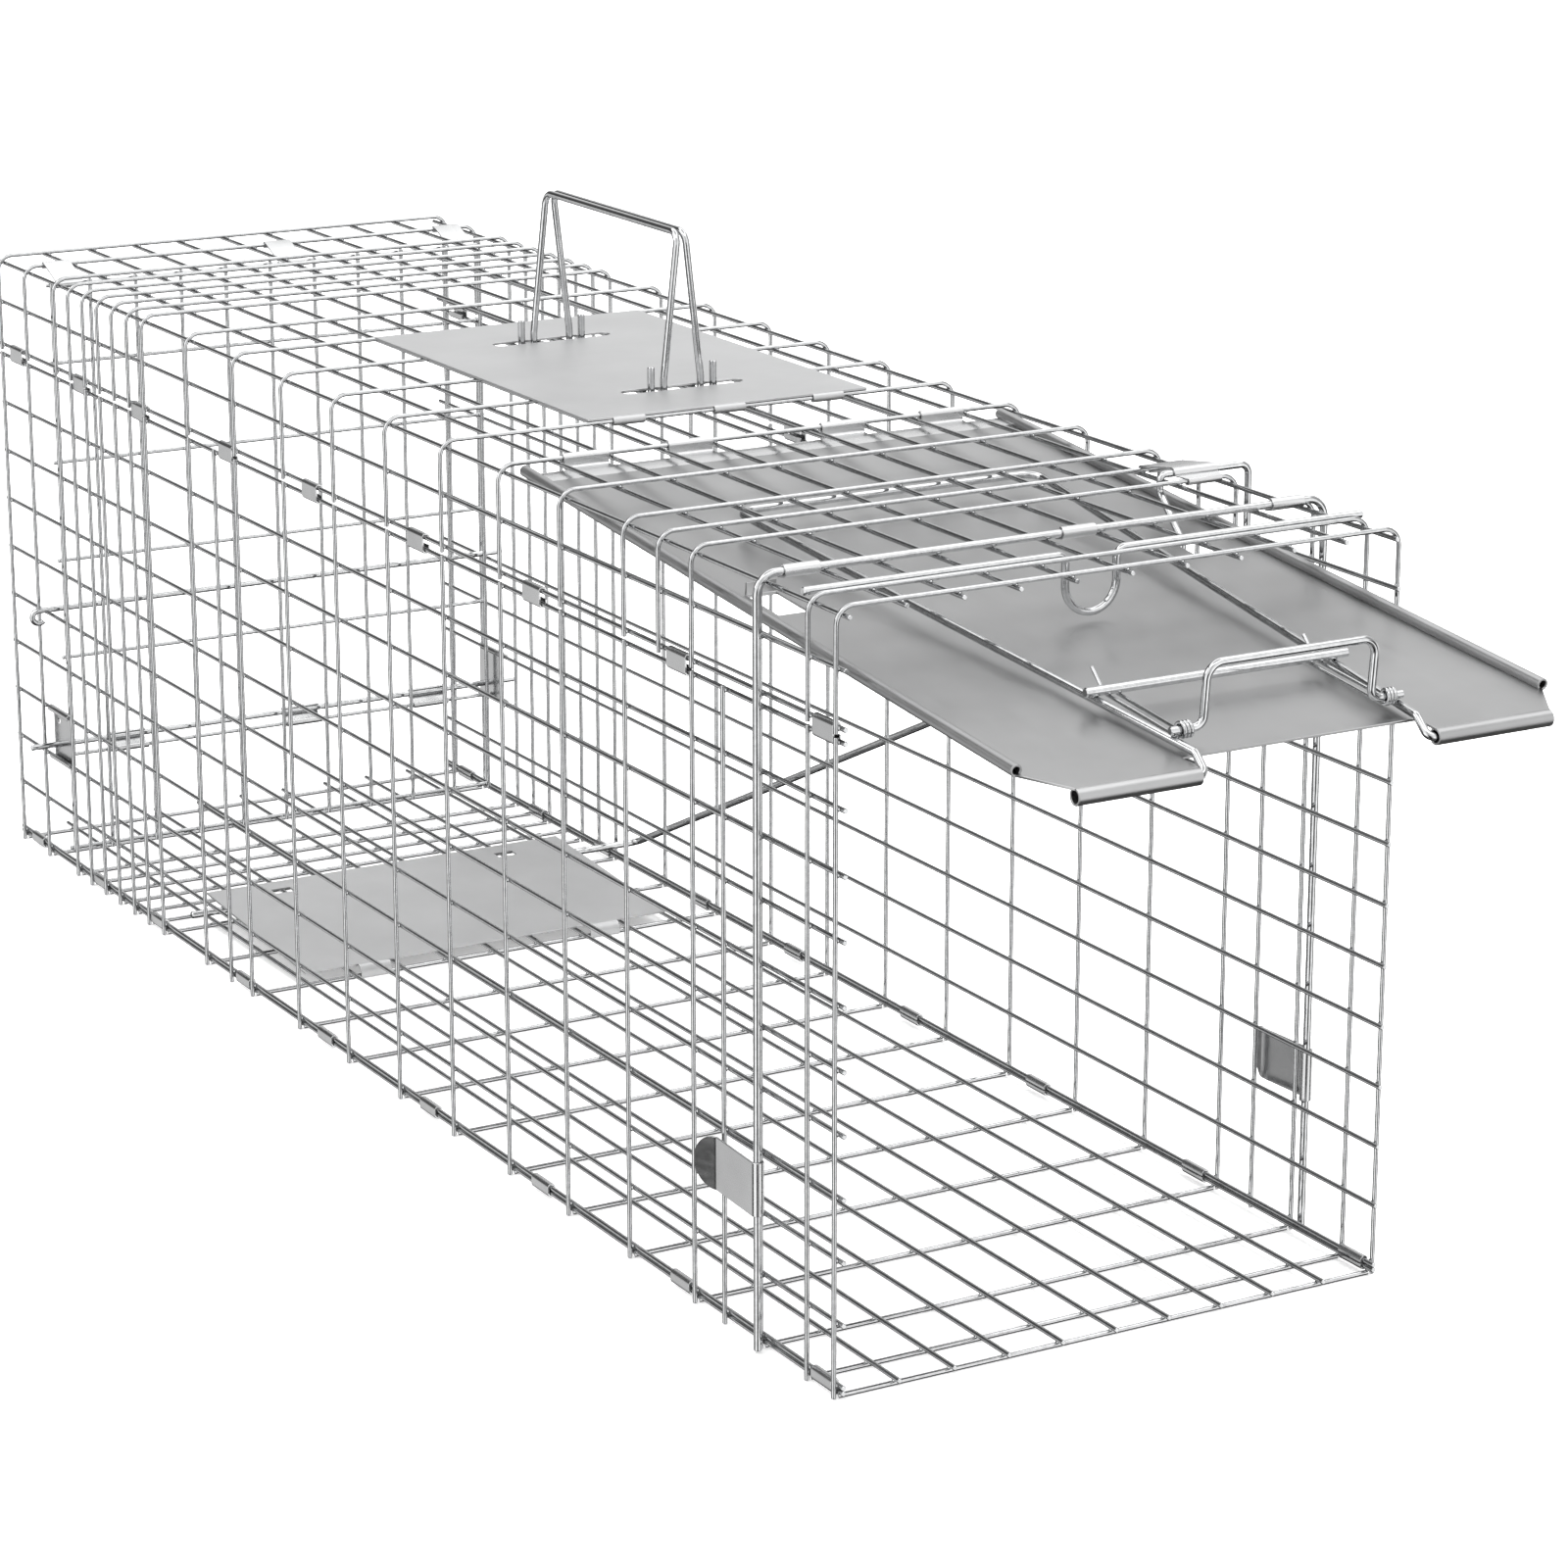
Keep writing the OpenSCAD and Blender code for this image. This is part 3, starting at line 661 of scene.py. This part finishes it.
for x in TABS:
    curl_r = MESH_R + RUNNING + CLIP_T / 2
    riser = bent([(REAR_Y - 3, strip_z, 0), (-curl_r, strip_z, 0), (-curl_r, 0, 0)], 1.6)
    path = [(p.x, p.y) for p in riser] + arc((0, 0), curl_r, 180, -110, 14)[1:]
    strip.ribbon(path, CLIP_T, (x - TAB_W / 2, x + TAB_W / 2), lambda u, v, w: door(w, u, v))
flap = [(HOLE_Y[1] - 1, SHEET_Z, 0), (HOLE_Y[1] + 0.3, SHEET_Z, 0), (HOLE_Y[1] + 0.3, SHEET_Z + FLAP_H, 0)]
shape.ribbon([(p.x, p.y) for p in bent(flap, 1.0)], ROLL_T,
             (HOLES[0] - HOLE_W / 2, HOLES[0] + HOLE_W / 2), lambda u, v, w: door(w, u, v))
# The door's sheet and its hinge strip are one sheet: the sheet takes the darker copy, painted shade, and the
# strip the lighter lip copy, painted light.
shape.piece("door_sheet", SHADED_DOOR_SHEET, "door", "sheet", ["door_panel"], bevel=0.18)
strip.piece("door_hinge_strip", LIT_LIP_SHEET, "door", "sheet", ["door_panel"], bevel=0.12)

# ---- Locking bail, lock bar, lift handle and its springs ----

# Places in the door's frame: CROSS is the bail's cross bar and JOG its first bend, both as (Y, Z)
ARM_FRONT_X, ARM_REAR_X = 47.5, 69.5
CROSS = (-98.0, 3.4)
JOG = (-383.5, -1.4)
HANDLE_Y, HANDLE_RISE, HANDLE_HALF, HANDLE_END = -371.0, 23.0, 36.0, 50
PIN_L, HANDLE_GAP = 22, 0.3
REAR_BEND, PIN_BEND = 7, 3.2
BAR_Y, BAR_R, BAR_HALF = -328.0, 1.9, 57.0
SPRING_R, COIL_X = 0.7, 44.0


def arm_z(y):
    return JOG[1] + (y - JOG[0]) * (CROSS[1] - JOG[1]) / (CROSS[0] - JOG[0])


handle_z = arm_z(HANDLE_Y) + 2 * FRAME_R + HANDLE_GAP
half_bail = [(ARM_REAR_X, *CROSS), (ARM_FRONT_X, *JOG), (ARM_FRONT_X, -DOOR_L, ROLL_Z),
             (ARM_FRONT_X + PIN_L, -DOOR_L, ROLL_Z)]
whole = [(-x, y, z) for x, y, z in reversed(half_bail)] + half_bail
shape = Shape()
half_bends = [REAR_BEND, PIN_BEND, PIN_BEND, 0]
shape.tube(door_path(whole, half_bends[::-1] + half_bends), FRAME_R)
shape.piece("lock_bail_rod", ROD, "bail", "frame_wire", ["lock_bail"])

bar_z = arm_z(BAR_Y) + FRAME_R + BAR_R
shape = Shape()
shape.tube([door(-BAR_HALF, BAR_Y, bar_z), door(BAR_HALF, BAR_Y, bar_z)], BAR_R)
shape.piece("lock_bar_rod", ROD, "bail", "frame_wire", ["lock_bar"])

top = handle_z + HANDLE_RISE
shape = Shape()
shape.tube(door_path([(-HANDLE_END, HANDLE_Y, handle_z), (-HANDLE_HALF, HANDLE_Y, handle_z),
                      (-HANDLE_HALF, HANDLE_Y, top), (HANDLE_HALF, HANDLE_Y, top),
                      (HANDLE_HALF, HANDLE_Y, handle_z), (HANDLE_END, HANDLE_Y, handle_z)],
                     [0, 4, 6, 6, 4, 0]), FRAME_R)
shape.piece("lift_handle_rod", ROD, "handle", "frame_wire", ["lift_handle"])


def handle_spring(node, side):
    """Torsion spring: three turns round the handle's foot and two legs under the lock bar."""
    coil_r = FRAME_R + 0.35 + SPRING_R
    turns, steps, pitch = 3, 20, 2 * SPRING_R + SNUG
    under = bar_z - BAR_R - SPRING_R - SNUG
    behind = BAR_Y + BAR_R + SPRING_R + 1
    inner, outer = side * (COIL_X - turns * pitch / 2), side * (COIL_X + turns * pitch / 2)
    path = [(inner, behind + 1, under)]
    count = steps * turns
    for k in range(count + 1):
        a = -math.pi / 2 - 2 * math.pi * k / steps
        path.append((inner + (outer - inner) * k / count, HANDLE_Y + coil_r * math.cos(a),
                     handle_z + coil_r * math.sin(a)))
    tail = bent([(outer, HANDLE_Y, handle_z - coil_r), (outer, behind, under),
                 (outer, behind + 9, under + 7)], 6)
    path += [tuple(p) for p in tail[1:]]
    shape = Shape()
    shape.tube([door(*p) for p in path], SPRING_R, sides=12)
    shape.piece(node + "_coil", SPRING, "bail", "spring", [node])


handle_spring("left_handle_spring", -1)
handle_spring("right_handle_spring", 1)

# ---- Door catch and its bracket ----

CATCH_R = 1.5
TAIL_DROP, FOOT_DROP, ARM_DROP, FOOT_H = 59.8, 27.8, 6.8, 4
catch = joint_at("catch_swing")
low, high = box_mm("door_catch")
xi, xo, foot_y = low.x + CATCH_R, high.x - CATCH_R, low.y + CATCH_R
tail_z = catch.z - TAIL_DROP
foot_z = catch.z - FOOT_DROP
shape = Shape()
shape.tube(bent([(xi, foot_y, foot_z), (xi, foot_y, foot_z + FOOT_H), (xi, catch.y, catch.z - ARM_DROP),
                 (xi, catch.y, catch.z), (xo, catch.y, catch.z), (xo, catch.y, tail_z)],
                [0, 2, 4, 2.4, 4, 0]), CATCH_R)
shape.piece("door_catch_rod", ROD, "catch", "frame_wire", ["door_catch"])

low, high = box_mm("catch_bracket")
HOOP_BEFORE, HOOP_AFTER = 4, 22
front, rear = hoop_near(catch.y - HOOP_BEFORE), hoop_near(catch.y + HOOP_AFTER)
pin_r = CATCH_R + RUNNING + CLIP_T / 2
BRACKET_LIP = 4.5
wide = (low.x - BRACKET_LIP, high.x)
strap = belt((rear, hoop_z), EYE, (catch.y, catch.z), pin_r, -1, 200, 120)
spans = [wide if v > hoop_z + 0.5 else (low.x, high.x) for _, v in strap]
hook = arc((front, hoop_z), EYE, 150, 330, 14)
shape = Shape()
shape.ribbon(strap + hook, CLIP_T, spans + [(low.x, high.x)] * len(hook), across_x)
shape.piece("catch_bracket_bent", LIT_LIP_SHEET, "cage", "sheet", ["catch_bracket"], bevel=CLIP_BEVEL)

# ---- Trip pan and trigger rod ----

TRIGGER_R = 1.75
pan_pivot = joint_at("trip_pan_press")
low, high = box_mm("trip_pan")
ROD_Y, ROD_Z = pan_pivot.y + 100.1, 9.8
PAN_L, PAN_T, PAN_Z, PAN_FRONT = 117.0, 1.0, 5.3, 2
WINDOW_X, WINDOW_HALF, WINDOW_L = 61.0, 5, 6
TONGUE_OUT, TONGUE_HALF, GRIP_HALF = 1.55, 8, 4
pan_slope = math.atan((ROD_Z + TRIGGER_R + 0.12 - PAN_Z) / (ROD_Y - pan_pivot.y))
pan_half = high.x


def pan(x, y, z):
    """From the pan's own frame, front edge at the origin, to the row frame."""
    c, s = math.cos(pan_slope), math.sin(pan_slope)
    return Vector((x, pan_pivot.y + PAN_FRONT + y * c - z * s, PAN_Z + y * s + z * c))


window_y = (ROD_Y + 3 - pan_pivot.y - PAN_FRONT) / math.cos(pan_slope)
windows = [[(x - WINDOW_HALF, window_y), (x + WINDOW_HALF, window_y),
            (x + WINDOW_HALF, window_y + WINDOW_L), (x - WINDOW_HALF, window_y + WINDOW_L)]
           for x in (-WINDOW_X, WINDOW_X)]
pan_edge = [(-pan_half, 0), (pan_half, 0), (pan_half, PAN_L), (-pan_half, PAN_L)]
shape = Shape()
shape.plate(pan_edge, windows, 0, PAN_T, pan)
for x in (-WINDOW_X, WINDOW_X):
    tongue = bent([(pan_pivot.y + 6, 6.05, 0), (pan_pivot.y - TONGUE_OUT, 5.6, 0),
                   (pan_pivot.y - TONGUE_OUT, 0.3, 0)], 3.6)
    shape.ribbon([(p.x, p.y) for p in tongue], CLIP_T, (x - TONGUE_HALF, x + TONGUE_HALF), across_x)
    grip_r = TRIGGER_R + SNUG + CLIP_T / 2
    hook = arc((ROD_Y, ROD_Z), grip_r, 80, -170, 14)
    shape.ribbon(hook, CLIP_T, (x - GRIP_HALF, x + GRIP_HALF), across_x)
shape.piece("trip_pan_sheet", SHEET, "trip", "sheet", ["trip_pan"], bevel=CLIP_BEVEL)

low, high = box_mm("trigger_rod")
LEVER_BACK, LEVER_DROP = 4.5, 55.8
lever_x = high.x - TRIGGER_R
tip = (lever_x, catch.y + LEVER_BACK, catch.z - LEVER_DROP)
shape = Shape()
shape.tube(bent([(low.x, ROD_Y, ROD_Z), (lever_x, ROD_Y, ROD_Z), tip], 5), TRIGGER_R)
shape.piece("trigger_rod_bent", ROD, "trip", "frame_wire", ["trigger_rod"])

# ---- Guard plate and the two loops of the carry handle ----

SLOT_HALF, SLOT_W, GUARD_T, TAB_HALF = 29.4, 8.0, 1.0, 7.5
GUARD_TABS = [k * PITCH for k in (-1.5, 0.5, 2.5)]
LOOP_HOOK, LOOP_STUB, LOOP_KNEE = 3.1, 14.0, 8.0
KNEE_BEND, GRIP_BEND = 12, 5.4
low, high = box_mm("guard_plate")
left_axis, right_axis = joint_at("left_loop_fold"), joint_at("right_loop_fold")
grip_x = (left_axis.x + right_axis.x) / 2
loop_low, loop_high = box_mm("left_carry_loop")
loop_y = (loop_low.y + FRAME_R, loop_high.y - FRAME_R)
guard_hoop = hoop_near(low.y + 1)
guard_top = high.z
slots = []
for y in loop_y:
    r = SLOT_W / 2
    right = arc((grip_x + SLOT_HALF - r, y), r, -90, 90, 22.5)
    left = arc((grip_x - SLOT_HALF + r, y), r, 90, 270, 22.5)
    slots.append(right + left)
plate_front = guard_hoop - 0.8
shape = Shape()
shape.plate([(low.x, plate_front), (high.x, plate_front), (high.x, high.y), (low.x, high.y)], slots,
            guard_top - GUARD_T, guard_top, across_z)
guard_eye = MESH_R + SNUG + GUARD_T / 2
for x in GUARD_TABS:
    curl = [(guard_hoop + 3, guard_top - GUARD_T / 2)] + arc((guard_hoop, hoop_z), guard_eye, 90, 300, 14)
    shape.ribbon(curl, GUARD_T * 0.9, (x - TAB_HALF, x + TAB_HALF), across_x)
shape.piece("guard_plate_sheet", LIT_GUARD_SHEET, "cage", "sheet", ["guard_plate"], bevel=CLIP_BEVEL)


def carry_loop(node, body, pivot, side):
    """One wire loop, hooked round its rail at both feet; side is -1 for the left loop."""
    top_x = grip_x + side * (FRAME_R + 0.2)
    leg, stub = pivot.x - side * LOOP_HOOK, pivot.x + side * LOOP_HOOK
    grip_z = box_mm(node)[1].z - FRAME_R
    foot = pivot.z - LOOP_HOOK
    hook = LOOP_HOOK - 0.1

    def feet(y):
        return [(stub, y, pivot.z + LOOP_STUB), (stub, y, foot), (leg, y, foot),
                (leg, y, pivot.z + LOOP_KNEE)]

    grip = [(top_x, loop_y[0], grip_z), (top_x, loop_y[1], grip_z)]
    points = feet(loop_y[0]) + grip + feet(loop_y[1])[::-1]
    shape = Shape()
    half_bends = [0, hook, hook, KNEE_BEND, GRIP_BEND]
    shape.tube(bent(points, half_bends + half_bends[::-1]), FRAME_R)
    shape.piece(node + "_rod", ROD, body, "frame_wire", [node])


carry_loop("left_carry_loop", "left_loop", left_axis, -1)
carry_loop("right_carry_loop", "right_loop", right_axis, 1)

# ---- Rear closure ----

ROD_R = 1.5
HOLE_RISE, PLATE_IN, PLATE_HALF = 12, 1.9, 0.5
low, high = box_mm("lower_lock_rod")
rod_y, lower_z = (low.y + high.y) / 2, (low.z + high.z) / 2
shape = Shape()
shape.tube([(low.x, rod_y, lower_z), (high.x, rod_y, lower_z)], ROD_R)
shape.piece("lower_lock_rod_straight", ROD, "lower_rod", "frame_wire", ["lower_lock_rod"])

EYE_R, SWELL = 3.2, 0.03
low, high = box_mm("upper_lock_rod")
upper_z = high.z - ROD_R - SWELL
eye_x = low.x + ROD_R + SWELL + EYE_R
eye = arc((eye_x, upper_z - EYE_R), EYE_R, 90, 320, 10)
shape = Shape()
shape.tube([(high.x, rod_y, upper_z)] + [(x, rod_y, z) for x, z in eye], ROD_R)
shape.piece("upper_lock_rod_eye", ROD, "upper_rod", "frame_wire", ["upper_lock_rod"])

rear_islands = islands("rear_panel")
rear_bars = [b for b in rear_islands if b[1].x - b[0].x > WIDE]
rear_y = (rear_bars[0][0].y + rear_bars[0][1].y) / 2
bar_heights = sorted((a.z + b.z) / 2 for a, b in rear_bars)
HANGER_BEHIND = 16.5
hanger = hoop_near(rear_y + HANGER_BEHIND)
shape = Shape()
for low, high in islands("rear_hanger_clips"):
    path = belt((rear_y, bar_heights[-1]), EYE, (hanger, hoop_z), EYE, 1, 200, 200)
    shape.ribbon(path, CLIP_T, (low.x, high.x), across_x)
shape.piece("rear_hanger_clips_bent", CLIP, "cage", "clip", ["rear_hanger_clips"], bevel=CLIP_BEVEL)

shape = Shape()
for low, high in islands("rear_rod_clips"):
    path = belt((rod_y, lower_z), ROD_R + RUNNING + CLIP_T / 2, (rear_y, bar_heights[1]), EYE, 1, 170, 190)
    shape.ribbon(path, CLIP_T, (low.x, high.x), across_x)
shape.piece("rear_rod_clips_bent", CLIP, "cage", "clip", ["rear_rod_clips"], bevel=CLIP_BEVEL)


def rod_plate(node, side):
    """Plate between two lengthwise side wires, with a hole for the rod and one for a padlock."""
    low, high = box_mm(node)
    wire_x = side * (max(abs(low.x), abs(high.x)) - MESH_R - SNUG - CLIP_T)
    bottom, top = low.z + MESH_R + SNUG + CLIP_T, high.z - MESH_R - SNUG - CLIP_T
    plate_x = wire_x - side * PLATE_IN
    bores = [arc((rod_y, hole), ROD_R + RUNNING, 0, 345, 15) for hole in (lower_z, lower_z + HOLE_RISE)]
    shape = Shape()
    edge = [(low.y, bottom), (high.y, bottom), (high.y, top), (low.y, top)]
    shape.plate(edge, bores, plate_x - PLATE_HALF, plate_x + PLATE_HALF, lambda u, v, w: Vector((w, u, v)))
    for z, start, end in ((bottom, 180, 400), (top, 180, -40)):
        curl = [(wire_x + side * px, z + pz) for px, pz in arc((0, 0), EYE, start, end, 14)]
        shape.ribbon(curl, CLIP_T, (low.y, high.y), across_y)
    shape.piece(node + "_bent", CLIP, "cage", "clip", [node], bevel=CLIP_BEVEL)


rod_plate("left_rod_plate", -1)
rod_plate("right_rod_plate", 1)

# ---- Floor, light and camera ----

floor_mesh = bpy.data.meshes.new("studio_floor")
half = 6.0
corners = [(-half, -half, 0), (half, -half, 0), (half, half, 0), (-half, half, 0)]
floor_mesh.from_pydata(corners, [], [(0, 1, 2, 3)])
floor = bpy.data.objects.new("studio_floor", floor_mesh)
bpy.context.scene.collection.objects.link(floor)
paper = bpy.data.materials.new("pale_floor")
tree, nodes, links, shader = nodes_of(paper)
shader.inputs["Base Color"].default_value = (0.93, 0.93, 0.93, 1)
shader.inputs["Roughness"].default_value = 0.85
shader.inputs["Emission Color"].default_value = (1, 1, 1, 1)
shader.inputs["Emission Strength"].default_value = 0.35
floor.visible_glossy = False
floor_mesh.materials.append(paper)


def area_light(name, place, target, size, power, reflected=True):
    light = bpy.data.lights.new(name, "AREA")
    light.shape = "RECTANGLE"
    light.size, light.size_y = size
    light.energy = power
    obj = bpy.data.objects.new(name, light)
    obj.location = place
    obj.rotation_euler = (Vector(target) - Vector(place)).to_track_quat("-Z", "Y").to_euler()
    obj.visible_glossy = reflected
    bpy.context.scene.collection.objects.link(obj)


# The softboxes light the floor and the sheets. Only the small one on the left shows in the bright wire.
area_light("top_softbox", (0.35, 0.25, 2.3), (0.1, 0.1, 0), (2.4, 1.8), 45, reflected=False)
area_light("back_softbox", (2.2, 3.8, 2.6), (1.4, 2.6, 0), (4.0, 3.0), 150, reflected=False)
area_light("left_softbox", (-2.4, 0.9, 1.6), (0, 0.1, 0.1), (1.4, 1.4), 15)

# The studio round the object: tall bright and dark screens at the sides, a bright ceiling and a dark ground.
# Round the horizon 0.5 is the rear, 0.75 the left, 0 and 1 the front and 0.25 the right.
LOW_SCREENS = [(0.0, 0.05), (0.03, 0.05), (0.07, 0.70), (0.10, 1.3), (0.19, 1.3), (0.21, 0.04),
               (0.27, 0.04), (0.30, 0.95), (0.40, 0.95), (0.44, 0.04), (0.56, 0.04), (0.60, 0.60),
               (0.685, 0.68), (0.72, 0.05), (0.79, 0.04), (0.83, 1.4), (0.93, 1.4), (0.97, 0.05),
               (1.0, 0.05)]
HIGH_SCREENS = [(0.0, 0.50), (0.10, 1.1), (0.20, 1.1), (0.25, 0.25), (0.30, 0.55), (0.40, 0.74),
                (0.51, 0.77), (0.56, 0.50), (0.60, 0.08), (0.69, 0.08), (0.75, 0.25), (0.83, 1.2),
                (0.93, 1.2), (1.0, 0.50)]
# Heights run from 0 straight down, through 0.5 level, to 1 straight up.
HORIZON = [(0.47, 0.0), (0.56, 1.0)]
GROUND = [(0.18, 0.12), (0.28, 1.0)]
CEILING = [(0.84, 0.0), (0.90, 1.0)]
ROOF = [(0.88, 2.0), (0.94, 2.0), (0.975, 0.75), (1.0, 0.75)]
VIEW_TURN = math.radians(29.867)
WORLD_GAIN = 1.3
BACKDROP = (0.8, 0.8, 0.8, 1)

world = bpy.data.worlds.new("studio")
bpy.context.scene.world = world
world.use_nodes = True
tree = world.node_tree
links = tree.links
sky = tree.nodes.new("ShaderNodeTexCoord").outputs["Generated"]


def along(direction):
    node = tree.nodes.new("ShaderNodeVectorMath")
    node.operation = "DOT_PRODUCT"
    node.inputs[1].default_value = direction
    links.new(sky, node.inputs[0])
    return node.outputs["Value"]


def math_node(operation, *values):
    node = tree.nodes.new("ShaderNodeMath")
    node.operation = operation
    for socket, value in zip(node.inputs, values):
        if isinstance(value, (int, float)):
            socket.default_value = value
        else:
            links.new(value, socket)
    return node.outputs[0]


def mix(blend, factor, a, b):
    node = tree.nodes.new("ShaderNodeMix")
    node.data_type = "RGBA"
    node.blend_type = blend
    for name, value in (("Factor", factor), ("A", a), ("B", b)):
        socket = node.inputs[name]
        if isinstance(value, (int, float, tuple)):
            socket.default_value = value
        else:
            links.new(value, socket)
    return node.outputs["Result"]


rear = (math.sin(VIEW_TURN), math.cos(VIEW_TURN), 0)
left = (-math.cos(VIEW_TURN), math.sin(VIEW_TURN), 0)
turn = math_node("ARCTAN2", along(left), along(rear))
turn = math_node("MULTIPLY_ADD", turn, 0.5 / math.pi, 0.5)
height = math_node("MULTIPLY_ADD", along((0, 0, 1)), 0.5, 0.5)
low_walls, high_walls = ramp(tree, turn, LOW_SCREENS), ramp(tree, turn, HIGH_SCREENS)
screens = mix("MIX", ramp(tree, height, HORIZON), low_walls, high_walls)
walls = mix("MULTIPLY", 1.0, screens, ramp(tree, height, GROUND))
studio = mix("MIX", ramp(tree, height, CEILING), walls, ramp(tree, height, ROOF))
seen = tree.nodes.new("ShaderNodeLightPath").outputs["Is Camera Ray"]
links.new(mix("MIX", seen, studio, BACKDROP), tree.nodes["Background"].inputs["Color"])
tree.nodes["Background"].inputs["Strength"].default_value = WORLD_GAIN

CAMERA_AT = (-0.95, -1.7557, 0.7139)
CAMERA_DOWN = math.radians(16.286)
CAMERA_LENS = 108.58
lens = bpy.data.cameras.new("camera")
lens.lens = CAMERA_LENS
lens.sensor_width = 36
lens.clip_end = 30
camera = bpy.data.objects.new("camera", lens)
camera.location = CAMERA_AT
camera.rotation_euler = (math.pi / 2 - CAMERA_DOWN, 0, -VIEW_TURN)
bpy.context.scene.collection.objects.link(camera)
bpy.context.scene.camera = camera
bpy.context.scene.view_settings.view_transform = "Standard"
